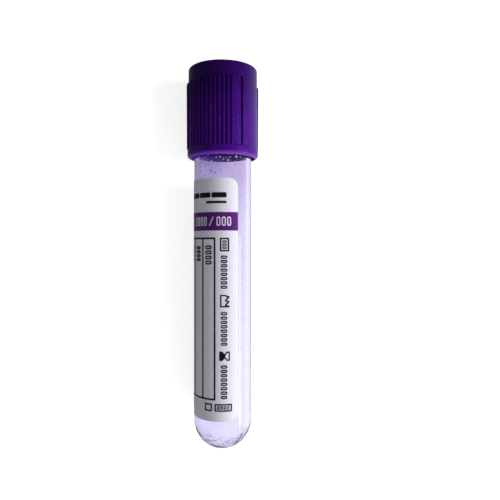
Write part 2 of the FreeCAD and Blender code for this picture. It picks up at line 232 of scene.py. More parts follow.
# Inside the cap, paler as painted light where little lamp light reaches
CAP_INSIDE_PAINTED_LIGHT = ((0.11, 0.006, 0.29, 1), (0.13, 0.009, 0.32, 1))
CAP_INSIDE_LIGHT_R = (7.2, 7.4)
RUBBER = ((0.040, 0.012, 0.10, 1), (0.052, 0.017, 0.125, 1))
PAPER = ((0.79, 0.785, 0.89, 1), (0.83, 0.825, 0.94, 1))
VIOLET_INK = ((0.095, 0.009, 0.175, 1), (0.115, 0.013, 0.205, 1))
DARK_INK = ((0.006, 0.0055, 0.009, 1), (0.012, 0.011, 0.017, 1))
GEL = (0.97, 0.84, 1.0, 1)


# ---------------------------------------------------------------- tools of the bench

def clear_selection():
    if bpy.context.object and bpy.context.object.mode != "OBJECT":
        bpy.ops.object.mode_set(mode="OBJECT")
    bpy.ops.object.select_all(action="DESELECT")


def pick(*pieces):
    clear_selection()
    for piece in pieces:
        piece.select_set(True)
    bpy.context.view_layer.objects.active = pieces[0]


def apply_place(piece):
    pick(piece)
    bpy.ops.object.transform_apply(location=True, rotation=True, scale=True)


def join(name, pieces):
    pick(*pieces)
    bpy.ops.object.join()
    joined = bpy.context.object
    joined.name = name
    return joined


def copy_of(piece, matrix):
    """A copy with its own mesh, moved by a matrix."""
    twin = piece.copy()
    twin.data = piece.data.copy()
    bpy.context.scene.collection.objects.link(twin)
    twin.data.transform(matrix)
    return twin


def finish_with(piece, kind, **settings):
    """Adds one modifier, sets it and applies it."""
    pick(piece)
    modifier = piece.modifiers.new(kind.title(), kind)
    for key, value in settings.items():
        setattr(modifier, key, value)
    bpy.ops.object.modifier_apply(modifier=modifier.name)


def shade(piece, angle=30):
    pick(piece)
    bpy.ops.object.shade_smooth_by_angle(angle=math.radians(angle))


def arc(centre_r, centre_z, radius, start, end, steps=6):
    """Points of an arc in a turned outline; angles run from outwards to upwards."""
    turns = [math.radians(start + (end - start) * k / steps) for k in range(steps + 1)]
    return [(centre_r + radius * math.cos(t), centre_z + radius * math.sin(t)) for t in turns]


def spun(name, outline, steps):
    """Draws an outline by extruding one corner from point to point, then spins it."""
    clear_selection()
    bpy.ops.mesh.primitive_plane_add(size=1)
    piece = bpy.context.object
    piece.name = name
    bpy.ops.object.mode_set(mode="EDIT")
    bpy.ops.mesh.select_mode(type="VERT")
    bpy.ops.mesh.select_all(action="SELECT")
    bpy.ops.mesh.merge(type="CENTER")
    bpy.ops.transform.translate(value=(outline[0][0], 0, outline[0][1]))
    for (r0, z0), (r1, z1) in zip(outline, outline[1:]):
        bpy.ops.mesh.extrude_region_move(TRANSFORM_OT_translate={"value": (r1 - r0, 0, z1 - z0)})
    bpy.ops.mesh.select_all(action="SELECT")
    bpy.ops.mesh.spin(steps=steps, angle=math.tau, center=(0, 0, 0), axis=(0, 0, 1))
    bpy.ops.mesh.select_all(action="SELECT")
    bpy.ops.mesh.remove_doubles(threshold=MERGE_DISTANCE)
    bpy.ops.mesh.normals_make_consistent(inside=False)
    bpy.ops.object.mode_set(mode="OBJECT")
    return piece


def select_edges(piece, test):
    """In edit mode, selects the edges whose two ends pass a test."""
    mesh = bmesh.from_edit_mesh(piece.data)
    bpy.ops.mesh.select_all(action="DESELECT")
    bpy.ops.mesh.select_mode(type="EDGE")
    for edge in mesh.edges:
        edge.select_set(test(edge.verts[0].co, edge.verts[1].co))
    bmesh.update_edit_mesh(piece.data)


# ---------------------------------------------------------------- where the tube lies

JOINTS = {joint["name"]: joint for joint in frame["joints"]}
TUBE_AXIS = Vector(JOINTS["closure_pull"]["axis"])
MOUTH = Vector(JOINTS["cap_twist"]["pos_m"])
TIP = MOUTH - TUBE_AXIS * TUBE_LENGTH * MM
LEAN = math.asin(TUBE_AXIS.z)
LAID = (Matrix.Translation(TIP)
        @ Matrix.Rotation(LEAN - math.pi / 2, 4, "X")
        @ Matrix.Rotation(math.radians(90 - REST_ANGLE), 4, "Z"))


def lay_down(piece, body):
    """Scales a finished upright piece to metres, lays it in place and hangs it on its body."""
    piece.matrix_world = LAID @ Matrix.Scale(MM, 4)
    apply_place(piece)
    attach(piece, body)
    return piece


def around(angle, radius, height):
    """A point in the laid frame, in metres, from the tube's own angle, radius and height in mm."""
    turn = math.radians(angle)
    upright = Vector((radius * math.cos(turn), radius * math.sin(turn), height)) * MM
    return LAID @ upright


# ---------------------------------------------------------------- pieces

def make_tube():
    gate_angle = math.degrees(math.acos(GATE_R / TUBE_R))
    outline = [(0, -GATE_DROP), (GATE_TIP_R, -GATE_DROP)]
    outline += arc(0, TUBE_R, TUBE_R, -gate_angle, 0, steps=40)
    outline += arc(TUBE_R - RIM_ROUND, TUBE_LENGTH - RIM_ROUND, RIM_ROUND, 0, 90)
    outline += [(BORE_R + RIM_LEAD_IN, TUBE_LENGTH), (BORE_R, TUBE_LENGTH - RIM_LEAD_IN)]
    outline += [(BORE_R, PARALLEL_BORE_Z)]
    outline += arc(0, TUBE_R, BORE_END_R, 0, -90, steps=36)
    piece = spun("clear_tube", outline, TUBE_STEPS)
    shade(piece, 25)
    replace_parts(lay_down(piece, "tube"), "tube")
    return piece


def make_rib(width):
    """A grip rib at angle 0: rounded crest, sloped top end, foot drawn in with the taper."""
    margin = 1.0
    clear_selection()
    foot_z = COLLAR_TOP_Z - COLLAR_TOP_ROUND
    depth = RIB_TOP_R - RIB_ROOT_R
    root_top_z = RIB_TOP_Z + depth - RIB_END_SLOPE
    middle = (RIB_ROOT_R + depth / 2, 0, (foot_z + root_top_z) / 2)
    bpy.ops.mesh.primitive_cube_add(size=1, location=middle)
    rib = bpy.context.object
    rib.scale = (depth, width, root_top_z - foot_z)
    apply_place(rib)
    bpy.ops.object.mode_set(mode="EDIT")
    half_way_r = RIB_ROOT_R + depth / 2

    def crest_edge(low, high):
        return lambda a, b: min(a.x, b.x) > half_way_r and low < a.z < high and low < b.z < high

    def lengthwise_or_top(a, b):
        return min(a.x, b.x) > half_way_r and (abs(a.z - b.z) > margin or a.z > foot_z + margin)

    select_edges(rib, crest_edge(foot_z + margin, root_top_z + margin))
    bpy.ops.transform.translate(value=(0, 0, -depth))
    select_edges(rib, crest_edge(foot_z - margin, foot_z + margin))
    bpy.ops.transform.translate(value=(RIB_FOOT_R - RIB_TOP_R, 0, 0))
    select_edges(rib, lengthwise_or_top)
    bpy.ops.mesh.bevel(offset=RIB_ROUND, segments=4, affect="EDGES")
    bpy.ops.object.mode_set(mode="OBJECT")
    return rib


def make_cap():
    inner_round = COLLAR_R - COLLAR_ROUND - SKIRT_MOUTH_R
    collar_top_r = COLLAR_R - COLLAR_TOP_ROUND
    collar_top_z = COLLAR_TOP_Z - COLLAR_TOP_ROUND
    lip_middle = (LIP_BOTTOM_Z + LIP_TOP_Z) / 2
    lip_half = (CAP_BORE_R - LIP_R) / 2
    outline = [(SKIRT_MOUTH_R, CAP_BOTTOM_Z + inner_round)]
    outline += arc(COLLAR_R - COLLAR_ROUND, CAP_BOTTOM_Z + COLLAR_ROUND, COLLAR_ROUND, -90, 0, 10)
    outline += arc(collar_top_r, collar_top_z, COLLAR_TOP_ROUND, 0, 90, 5)
    outline += [(CAP_FOOT_R, COLLAR_TOP_Z)]
    outline += arc(CAP_TOP_R - CAP_EDGE_ROUND, CAP_TOP_Z - CAP_EDGE_ROUND, CAP_EDGE_ROUND, 0, 90, 8)
    outline += arc(ROOF_HOLE_R + ROOF_HOLE_ROUND, CAP_TOP_Z - ROOF_HOLE_ROUND, ROOF_HOLE_ROUND, 90, 180)
    outline += [(ROOF_HOLE_R, ROOF_Z), (CAP_BORE_R, ROOF_Z), (CAP_BORE_R, LIP_TOP_Z)]
    outline += [(LIP_R, lip_middle + lip_half), (LIP_R, lip_middle - lip_half), (CAP_BORE_R, LIP_BOTTOM_Z)]
    shell = spun("ribbed_cap", outline + outline[:1], CAP_STEPS)

    wide = make_rib(WIDE_RIB_WIDTH)
    fine = make_rib(FINE_RIB_WIDTH)
    ribs = []
    for panel in PANEL_CENTRES:
        for side in (-1, 1):
            turn = math.radians(panel + side * WIDE_RIB_OFFSET)
            ribs.append(copy_of(wide, Matrix.Rotation(turn, 4, "Z")))
        for index in range(FINE_RIBS):
            turn = math.radians(panel + 90 + (index - (FINE_RIBS - 1) / 2) * FINE_RIB_PITCH)
            ribs.append(copy_of(fine, Matrix.Rotation(turn, 4, "Z")))
    all_ribs = join("grip_ribs", ribs)
    finish_with(shell, "BOOLEAN", operation="UNION", solver="EXACT", object=all_ribs)
    for spent in (wide, fine, all_ribs):
        bpy.data.objects.remove(spent)
    shade(shell, 30)
    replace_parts(lay_down(shell, "cap"), "cap_shell")
    return shell


def bead(centre_z):
    """Points of a sealing bead: a low crown between two heights of the plug."""
    points = []
    for step in range(9):
        offset = step / 4 - 1
        points.append((PLUG_R + (BEAD_R - PLUG_R) * (1 - offset * offset), centre_z + offset * BEAD_HALF))
    return points


def make_stopper():
    outline = [(CAVITY_R, PLUG_BOTTOM_Z), (PLUG_R - PLUG_LEAD_IN, PLUG_BOTTOM_Z)]
    outline += [(PLUG_R, PLUG_BOTTOM_Z + PLUG_LEAD_IN)]
    for bead_z in BEAD_CENTRES_Z:
        outline += bead(bead_z)
    outline += [(PLUG_R, FLANGE_BOTTOM_Z)]
    outline += arc(STOPPER_R - FLANGE_ROUND, FLANGE_BOTTOM_Z + FLANGE_ROUND, FLANGE_ROUND, -90, 0)
    outline += arc(STOPPER_R - FLANGE_ROUND, FLANGE_TOP_Z - FLANGE_ROUND, FLANGE_ROUND, 0, 90)
    outline += [(WELL_R, FLANGE_TOP_Z)]
    outline += arc(WELL_R - HOLLOW_ROUND, WELL_FLOOR_Z + HOLLOW_ROUND, HOLLOW_ROUND, 0, -90)
    outline += [(0, WELL_FLOOR_Z)]
    cavity = [(0, CAVITY_TOP_Z)]
    cavity += arc(CAVITY_R - HOLLOW_ROUND, CAVITY_TOP_Z - HOLLOW_ROUND, HOLLOW_ROUND, 90, 0)
    piece = spun("stopper_plug", cavity + outline, STOPPER_STEPS)
    shade(piece, 30)
    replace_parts(lay_down(piece, "stopper"), "rubber_stopper")
    return piece


# ---------------------------------------------------------------- label and print

def across(angle):
    """Length along the label's face from angle 0."""
    return math.radians(angle) * LABEL_R


def box_outline(x, z, width, height, corner):
    """A closed outline with rounded corners, centred at x and z on the flat label."""
    points = []
    for quarter, (side, end) in enumerate(((1, 1), (-1, 1), (-1, -1), (1, -1))):
        centre_x = x + side * (width / 2 - corner)
        centre_z = z + end * (height / 2 - corner)
        points += arc(centre_x, centre_z, corner, 90 * quarter, 90 * quarter + 90, 4)
    return points


def drawn_box(x, z, width, height, stroke, corner):
    """The two outlines of a box drawn with an even line."""
    inner_corner = max(corner - stroke, LEAST_CORNER)
    return [box_outline(x, z, width, height, corner),
            box_outline(x, z, width - 2 * stroke, height - 2 * stroke, inner_corner)]


def zeros_down(count, angle, top_z, bottom_z, height, stroke):
    """A run of plain zeros that reads down the tube, each lying on its side."""
    pitch = (top_z - bottom_z) / count
    width = pitch * 0.76
    corner = pitch * 0.36
    outlines = []
    for index in range(count):
        z = top_z - (index + 0.5) * pitch
        outlines += drawn_box(across(angle), z, height, width, stroke, corner)
    return outlines


def zeros_across(count, left, right, z, height, stroke):
    """A run of plain zeros that reads around the tube, each upright."""
    pitch = (right - left) / count
    width = across(pitch) * 0.78
    corner = width * 0.42
    outlines = []
    for index in range(count):
        x = across(left + (index + 0.5) * pitch)
        outlines += drawn_box(x, z, width, height, stroke, corner)
    return outlines


def flat_sheet(name, outlines, thickness):
    """A sheet that fills the outlines; one inside another is a hole, one inside that an island."""
    drawing = bpy.data.curves.new(name, "CURVE")
    drawing.dimensions = "2D"
    drawing.fill_mode = "BOTH"
    drawing.extrude = thickness / 2
    for outline in outlines:
        spline = drawing.splines.new("POLY")
        spline.points.add(len(outline) - 1)
        for point, (x, z) in zip(spline.points, outline):
            point.co = (x, z, 0, 1)
        spline.use_cyclic_u = True
    piece = bpy.data.objects.new(name, drawing)
    bpy.context.scene.collection.objects.link(piece)
    pick(piece)
    bpy.ops.object.convert(target="MESH")
    return bpy.context.object


def wrap(piece, inner_r):
    """Stands a flat sheet up, cuts it into narrow columns and bends it round the tube."""
    thickness = piece.dimensions.z
    width = piece.dimensions.x
    piece.rotation_euler = (math.radians(90), 0, 0)
    piece.location = (0, LABEL_R - inner_r - thickness / 2, 0)
    apply_place(piece)
    bpy.ops.object.mode_set(mode="EDIT")
    bpy.ops.mesh.select_all(action="SELECT")
    bpy.ops.mesh.remove_doubles(threshold=MERGE_DISTANCE)
    first = math.ceil(min(corner[0] for corner in piece.bound_box) / COLUMN_WIDTH)
    last = math.floor(max(corner[0] for corner in piece.bound_box) / COLUMN_WIDTH)
    for column in range(first, last + 1):
        bpy.ops.mesh.select_all(action="SELECT")
        bpy.ops.mesh.bisect(plane_co=(column * COLUMN_WIDTH, 0, 0), plane_no=(1, 0, 0))
    bpy.ops.mesh.select_all(action="SELECT")
    bpy.ops.mesh.normals_make_consistent(inside=False)
    bpy.ops.object.mode_set(mode="OBJECT")
    finish_with(piece, "SIMPLE_DEFORM", deform_method="BEND", deform_axis="Z", angle=width / LABEL_R)
    piece.matrix_world = Matrix.Rotation(math.radians(90), 4, "Z") @ Matrix.Translation((0, -LABEL_R, 0))
    apply_place(piece)
    shade(piece, 30)
    return piece


def full_width(top_z, bottom_z, corner):
    """The outline of a field as wide as the label."""
    middle = across((LABEL_LEFT + LABEL_RIGHT) / 2)
    return box_outline(middle, (top_z + bottom_z) / 2, across(LABEL_SWEEP), top_z - bottom_z, corner)


def make_label():
    outline = full_width(LABEL_TOP_Z, LABEL_BOTTOM_Z, LABEL_CORNER)
    paper = flat_sheet("paper_label", [outline], LABEL_R - LABEL_INNER_R)
    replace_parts(lay_down(wrap(paper, LABEL_INNER_R), "tube"), "label")
    return paper


def make_band():
    """The coloured band; its zeros stay in the paper's white."""
    middle_z = (BAND_TOP_Z + BAND_BOTTOM_Z) / 2
    outlines = [full_width(BAND_TOP_Z, BAND_BOTTOM_Z, SQUARE_CORNER)]
    for count, left, right in BAND_ZEROS:
        outlines += zeros_across(count, left, right, middle_z, BAND_ZERO_HEIGHT, BAND_STROKE)
    low_x = across(SLASH_ANGLE) - SLASH_REACH
    high_x = across(SLASH_ANGLE) + SLASH_REACH
    low_z = middle_z - BAND_ZERO_HEIGHT / 2
    high_z = middle_z + BAND_ZERO_HEIGHT / 2
    outlines.append([(low_x, low_z), (low_x + SLASH_STROKE, low_z),
                     (high_x, high_z), (high_x - SLASH_STROKE, high_z)])
    band = flat_sheet("label_colour_band", outlines, INK_THICKNESS)
    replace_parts(lay_down(wrap(band, LABEL_R), "tube"), "label_band")
    return band


def form_outlines():
    """The empty form: one frame line around three columns."""
    edges = [across(angle) for angle in (FORM_LEFT, *FORM_DIVIDERS, FORM_RIGHT)]
    left, right = edges[0], edges[-1]
    middle_z = (FORM_TOP_Z + FORM_BOTTOM_Z) / 2
    height = FORM_TOP_Z - FORM_BOTTOM_Z
    outer_width = right - left + FORM_LINE
    outlines = [box_outline((left + right) / 2, middle_z, outer_width, height + FORM_LINE, SQUARE_CORNER)]
    for west, east in zip(edges, edges[1:]):
        width = east - west - FORM_LINE
        outlines.append(box_outline((west + east) / 2, middle_z, width, height - FORM_LINE, corner=0.03))
    return outlines


def sand_glass_outlines(x, z):
    """A small sand glass lying on its side: one bulb full, one drawn in line."""
    body = [(-1.15, -1.0), (-0.45, -1.0), (0, -0.45), (0.45, -1.0), (1.15, -1.0),
            (1.15, 1.0), (0.45, 1.0), (0, 0.45), (-0.45, 1.0), (-1.15, 1.0)]
    bulb = [(0.08, 0), (0.55, -0.7), (0.87, -0.7), (0.87, 0.7), (0.55, 0.7)]
    return [[(x + a, z + b) for a, b in outline] for outline in (body, bulb)]


def saw_block_outlines(x, z):
    """A small block with a saw-tooth side, drawn in line."""
    block = [(-0.95, -1.35), (1.1, -1.35), (1.1, -1.0), (0.4, -0.9), (1.1, -0.2), (1.1, 0.0),
             (0.4, 0.1), (1.1, 0.8), (1.1, 1.0), (0.1, 1.35), (-0.95, 1.35)]
    hollow = [(-0.67, -1.07), (0.1, -1.07), (0.1, -0.75), (0.62, -0.2), (0.1, -0.05),
              (0.1, 0.25), (0.62, 0.8), (0.0, 1.07), (-0.67, 1.07)]
    return [[(x + a, z + b) for a, b in outline] for outline in (block, hollow)]


def far_side_outlines():
    """What is printed where the label turns away: a block, a line of zeros and three bars."""
    block_x = across(LABEL_LEFT) + 0.9
    outlines = [box_outline(block_x, FAR_BLOCK_Z, width=1.7, height=1.6, corner=SQUARE_CORNER)]
    outlines += zeros_down(19, FAR_ZEROS_ANGLE, FORM_TOP_Z, bottom_z=30.9, height=1.8, stroke=0.26)
    for angle in FAR_BARS_ANGLES:
        outlines.append(box_outline(across(angle), z=22.6, width=0.32, height=13.6, corner=0.08))
    return outlines


def sign_column_outlines():
    """The column beside the form: zeros in a box, then three runs of zeros with signs between."""
    x = across(SIGNS_ANGLE)
    top_z = BOXED_ZEROS_Z + 1
    bottom_z = BOXED_ZEROS_Z - 1
    outlines = drawn_box(x, BOXED_ZEROS_Z, width=2.0, height=2.95, stroke=0.32, corner=SQUARE_CORNER)
    outlines += zeros_down(3, SIGNS_ANGLE, top_z, bottom_z, height=0.98, stroke=0.2)
    for top_z, bottom_z in SIDE_ZEROS_Z:
        outlines += zeros_down(8, SIDE_ZEROS_ANGLE, top_z, bottom_z, height=1.4, stroke=0.27)
    outlines += saw_block_outlines(x, SAW_BLOCK_Z)
    outlines += sand_glass_outlines(x, SAND_GLASS_Z)
    return outlines


def foot_box_outlines():
    """Two small boxes at the label's foot: one empty, one with zeros."""
    outlines = []
    for angle, width in FOOT_BOXES:
        outlines += drawn_box(across(angle), FOOT_BOXES_Z, width, height=1.65, stroke=0.3, corner=0.2)
    outlines += zeros_across(4, left=-11.5, right=13.0, z=FOOT_BOXES_Z, height=0.8, stroke=0.2)
    return outlines


def make_print():
    """Black ink: form lines, plain zeros, plain bars and simple signs."""
    outlines = form_outlines()
    outlines += far_side_outlines()
    for angle, top_z, bottom_z in FORM_ZEROS:
        outlines += zeros_down(4, angle, top_z, bottom_z, height=1.6, stroke=0.3)
    outlines += sign_column_outlines()
    outlines += foot_box_outlines()
    for angle, length in TITLE_BARS:
        outlines.append(box_outline(across(angle), TITLE_Z, length, height=1.1, corner=0.2))
    outlines.append(box_outline(across(SUBTITLE_ANGLE), SUBTITLE_Z, width=4.6, height=0.5, corner=0.1))
    ink = flat_sheet("label_print_ink", outlines, INK_THICKNESS)
    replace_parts(lay_down(wrap(ink, LABEL_R), "tube"), "label_print")
    return ink


# ---------------------------------------------------------------- dried additive

def on_bore(angle, z):
    """A point of the bore's wall."""
    wall_r = BORE_END_R + (BORE_R - BORE_END_R) * min(1.0, z / PARALLEL_BORE_Z)
    turn = math.radians(angle)
    return Vector((wall_r * math.cos(turn), wall_r * math.sin(turn), z))


def make_drops():
    """Flattened domes on the bore, crowded under the stopper and thinning towards the round end."""
    clear_selection()
    bpy.ops.mesh.primitive_uv_sphere_add(segments=14, ring_count=8, radius=1)
    dome = bpy.context.object
    dome.scale = (1, 1, DROP_HEIGHT)
    apply_place(dome)
    bpy.ops.object.mode_set(mode="EDIT")
    bpy.ops.mesh.select_all(action="SELECT")
    bpy.ops.mesh.bisect(plane_co=(0, 0, 0), plane_no=(0, 0, 1), clear_inner=True, use_fill=True)
    bpy.ops.object.mode_set(mode="OBJECT")

    placed = [(on_bore(angle, z), radius) for angle, z, radius in LARGE_DROPS]
    for index in range(DROPS):
        depth = (index / DROPS) ** DROP_CROWDING
        z = DROP_TOP_Z - depth * (DROP_TOP_Z - DROP_BOTTOM_Z)
        chance = (index * GOLDEN_FRACTION * GOLDEN_FRACTION) % 1.0
        radius = DROP_SMALL_R + (DROP_LARGE_R - DROP_SMALL_R) * chance ** 3
        centre = on_bore(index * GOLDEN_TURN, z)
        if all((centre - other).length > DROP_SPACING * (radius + other_r) for other, other_r in placed):
            placed.append((centre, radius))

    # Each dome's seat sinks a little, so that its flat rim doesn't stand off the round wall
    drops = []
    for centre, radius in placed:
        wall_r = math.hypot(centre.x, centre.y)
        sink = 1 + radius * radius / (2 * wall_r * wall_r)
        seat = Vector((centre.x * sink, centre.y * sink, centre.z))
        inwards = Vector((-centre.x, -centre.y, 0)).to_track_quat("Z", "Y").to_matrix().to_4x4()
        drops.append(copy_of(dome, Matrix.Translation(seat) @ inwards @ Matrix.Scale(radius, 4)))
    bpy.data.objects.remove(dome)
    piece = join("dried_drops", drops)
    shade(piece, 60)
    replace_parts(lay_down(piece, "tube"), "additive_drops")
    return piece


# ---------------------------------------------------------------- finishes

def material(name, **sockets):
    """A Principled material with the constant values set on its own sockets."""
    finish = bpy.data.materials.new(name)
    finish.use_nodes = True
    shader = finish.node_tree.nodes["Principled BSDF"]
    for key, value in sockets.items():
        shader.inputs[key.replace("_", " ")].default_value = value
    return finish, finish.node_tree, shader


def node(tree, kind, **settings):
    made = tree.nodes.new(kind)
    for key, value in settings.items():
        setattr(made, key, value)
    return made


def noise(tree, scale, detail=3.0, stretch=(1, 1, 1)):
    """Noise on Object coordinates; the scale counts features per metre."""
    place = node(tree, "ShaderNodeTexCoord")
    mapping = node(tree, "ShaderNodeMapping")
    mapping.inputs["Scale"].default_value = stretch
    pattern = node(tree, "ShaderNodeTexNoise")
    pattern.inputs["Scale"].default_value = scale
    pattern.inputs["Detail"].default_value = detail
    pattern.inputs["Roughness"].default_value = 0.55
    tree.links.new(place.outputs["Object"], mapping.inputs["Vector"])
    tree.links.new(mapping.outputs["Vector"], pattern.inputs["Vector"])
    return pattern.outputs["Fac"]


def tones(tree, source, pair, start=0.3, end=0.7):
    """From the first colour of a pair to the second as a pattern goes from start to end."""
    colours = node(tree, "ShaderNodeValToRGB")
    for element, position, colour in zip(colours.color_ramp.elements, (start, end), pair):
        element.position = position
        element.color = colour
    tree.links.new(source, colours.inputs["Fac"])
    return colours.outputs["Color"]


def uneven_gloss(tree, shader, scale, low, high, start=0.3):
    """A roughness that wanders between two values."""
    pair = [(value, value, value, 1) for value in (low, high)]
    tree.links.new(tones(tree, noise(tree, scale), pair, start), shader.inputs["Roughness"])


def spread(tree, source, span, values=(0.0, 1.0), course="SMOOTHSTEP"):
    """Runs from the first value to the second while the source runs over its span."""
    made = node(tree, "ShaderNodeMapRange", interpolation_type=course)
    for name, value in zip(("From Min", "From Max", "To Min", "To Max"), (*span, *values)):
        made.inputs[name].default_value = value
    tree.links.new(source, made.inputs["Value"])
    return made.outputs["Result"]


def along(tree, direction, coordinates="Object"):
    """How far a place lies in a direction, in metres; Generated gives the sky's own direction."""
    place = node(tree, "ShaderNodeTexCoord")
    reach = node(tree, "ShaderNodeVectorMath", operation="DOT_PRODUCT")
    reach.inputs[1].default_value = direction
    tree.links.new(place.outputs[coordinates], reach.inputs[0])
    return reach.outputs["Value"]


def up_the_tube(tree, heights):
    """0 to 1 from one height of the upright tube to another, in millimetres."""
    foot = TIP.dot(TUBE_AXIS)
    return spread(tree, along(tree, TUBE_AXIS), [foot + z * MM for z in heights])


def out_of_the_bore(tree, radii):
    """0 to 1 from one distance off the tube's axis to another, in millimetres."""
    place = node(tree, "ShaderNodeTexCoord")
    upright = node(tree, "ShaderNodeMapping", vector_type="TEXTURE")
    upright.inputs["Location"].default_value = TIP
    upright.inputs["Rotation"].default_value = (LEAN, 0, 0)
    flat = node(tree, "ShaderNodeVectorMath", operation="MULTIPLY")
    flat.inputs[1].default_value = (1, 0, 1)
    reach = node(tree, "ShaderNodeVectorMath", operation="LENGTH")
    tree.links.new(place.outputs["Object"], upright.inputs["Vector"])
    tree.links.new(upright.outputs["Vector"], flat.inputs[0])
    tree.links.new(flat.outputs["Vector"], reach.inputs[0])
    return spread(tree, reach.outputs["Value"], [radius * MM for radius in radii])


def blended(tree, source, low_colour, high_colour):
    """From one colour source to another as a value goes from 0 to 1.

    The node has an A, a B and a Result of each data type; the colours' are found by number.
    """
    mixed = node(tree, "ShaderNodeMix", data_type="RGBA")
    tree.links.new(source, mixed.inputs["Factor"])
    tree.links.new(low_colour, mixed.inputs[6])
    tree.links.new(high_colour, mixed.inputs[7])
    return mixed.outputs[2]


def bump(tree, shader, source, strength, distance):
    relief = node(tree, "ShaderNodeBump")
    relief.inputs["Strength"].default_value = strength
    relief.inputs["Distance"].default_value = distance
    tree.links.new(source, relief.inputs["Height"])
    tree.links.new(relief.outputs["Normal"], shader.inputs["Normal"])


def light_path(tree, first, *others):
    """1 for the named kinds of ray, 0 for the rest."""
    path = node(tree, "ShaderNodeLightPath")
    total = path.outputs[first]
    for ray in others:
        add = node(tree, "ShaderNodeMath", operation="ADD", use_clamp=True)
        tree.links.new(total, add.inputs[0])
        tree.links.new(path.outputs[ray], add.inputs[1])
        total = add.outputs["Value"]
    return total


def clear_plastic():
    """Tinted, more so near the mouth, where a film has dried; flow marks ripple the round end.

    Lamps light what is inside through a clear shader, because glass alone holds their light back.
    """
    finish, tree, shader = material(
        "clear_moulded_plastic", Roughness=0.03, IOR=1.57, Transmission_Weight=1.0)
    cloud = noise(tree, scale=150)
    bare = tones(tree, cloud, WALL_BARE)
    filmed = tones(tree, cloud, WALL_FILMED)
    tree.links.new(blended(tree, up_the_tube(tree, WALL_FILM_Z), bare, filmed), shader.inputs["Base Color"])
    flow = node(tree, "ShaderNodeMath", operation="MULTIPLY")
    tree.links.new(noise(tree, scale=330, detail=4.0, stretch=(1, 2.0, 1)), flow.inputs[0])
    tree.links.new(spread(tree, up_the_tube(tree, WALL_FLOW_MARKS_Z), (0.0, 1.0), (1.0, 0.0)), flow.inputs[1])
    bump(tree, shader, flow.outputs["Value"], strength=0.65, distance=0.0011)
    tint = node(tree, "ShaderNodeVolumeAbsorption")
    tint.inputs["Color"].default_value = WALL_TINT
    tint.inputs["Density"].default_value = WALL_TINT_DENSITY
    tree.links.new(tint.outputs["Volume"], tree.nodes["Material Output"].inputs["Volume"])
    clear = node(tree, "ShaderNodeBsdfTransparent")
    clear.inputs["Color"].default_value = WALL_IN_LAMPLIGHT
    lit_through = node(tree, "ShaderNodeMixShader")
    tree.links.new(light_path(tree, "Is Shadow Ray"), lit_through.inputs["Fac"])
    tree.links.new(shader.outputs["BSDF"], lit_through.inputs[1])
    tree.links.new(clear.outputs["BSDF"], lit_through.inputs[2])
    tree.links.new(lit_through.outputs["Shader"], tree.nodes["Material Output"].inputs["Surface"])
    return finish


def cap_plastic():
    """Satin purple with light and shade painted in: painted light on the thin skirt, painted shade deeper
    where the stopper backs it, a painted highlight at the thin lip and painted light inside.
    """
    finish, tree, shader = material("purple_satin_plastic", IOR=1.5, Specular_IOR_Level=0.2)
    cloud = noise(tree, scale=180)
    # A painted highlight along the lip
    lip = tones(tree, cloud, CAP_LIP_PAINTED_HIGHLIGHT)
    skirt = tones(tree, cloud, CAP_SKIRT_PAINTED_GLOW)
    crown = tones(tree, cloud, CAP_CROWN_PAINTED_SHADE)
    inside = tones(tree, cloud, CAP_INSIDE_PAINTED_LIGHT)
    # From the skirt's painted light to the crown's painted shade
    body = blended(tree, up_the_tube(tree, CAP_CROWN_SHADE_Z), skirt, crown)
    outside = blended(tree, up_the_tube(tree, CAP_LIP_HIGHLIGHT_Z), lip, body)
    # Painted light on the cap's inside
    whole = blended(tree, out_of_the_bore(tree, CAP_INSIDE_LIGHT_R), inside, outside)
    tree.links.new(whole, shader.inputs["Base Color"])
    uneven_gloss(tree, shader, scale=900, low=0.22, high=0.32, start=0.35)
    bump(tree, shader, noise(tree, scale=5200, detail=4.0), strength=0.12, distance=0.00002)
    return finish


def stopper_rubber():
    """Matt violet rubber with a fine grain."""
    finish, tree, shader = material("violet_rubber", IOR=1.5)
    tree.links.new(tones(tree, noise(tree, scale=700), RUBBER), shader.inputs["Base Color"])
    uneven_gloss(tree, shader, scale=1500, low=0.55, high=0.7)
    bump(tree, shader, noise(tree, scale=6000), strength=0.25, distance=0.00003)
    return finish


def label_paper():
    """White label stock with faint fibres along the tube."""
    finish, tree, shader = material("coated_label_paper", IOR=1.45)
    fibres = noise(tree, scale=2600, detail=5.0, stretch=(1, 0.35, 1))
    tree.links.new(tones(tree, fibres, PAPER, start=0.25, end=0.75), shader.inputs["Base Color"])
    uneven_gloss(tree, shader, scale=1200, low=0.42, high=0.55)
    bump(tree, shader, fibres, strength=0.15, distance=0.00002)
    return finish


def printed(name, pair):
    """Ink on paper: slightly uneven, and a little glossier than the sheet."""
    finish, tree, shader = material(name, IOR=1.45)
    grain = noise(tree, scale=2200, detail=5.0)
    tree.links.new(tones(tree, grain, pair, end=0.75), shader.inputs["Base Color"])
    uneven_gloss(tree, shader, scale=1500, low=0.36, high=0.46)
    return finish


def drop_gel():
    """Half clear, half milky, with a smooth skin."""
    finish, tree, shader = material(
        "dried_additive_gel", Base_Color=GEL, Roughness=0.05, IOR=1.5, Transmission_Weight=0.5)
    bump(tree, shader, noise(tree, scale=2000), strength=0.06, distance=0.00005)
    return finish


def dress(piece, finish):
    piece.data.materials.clear()
    piece.data.materials.append(finish)


# ---------------------------------------------------------------- floor, light and camera

def chosen(tree, choice, value, other):
    """One value where the choice is 0, another where it is 1; each is a number or a socket."""
    mixed = node(tree, "ShaderNodeMix", data_type="FLOAT")
    tree.links.new(choice, mixed.inputs["Factor"])
    for name, source in (("A", value), ("B", other)):
        if isinstance(source, float):
            mixed.inputs[name].default_value = source
        else:
            tree.links.new(source, mixed.inputs[name])
    return mixed.outputs["Result"]


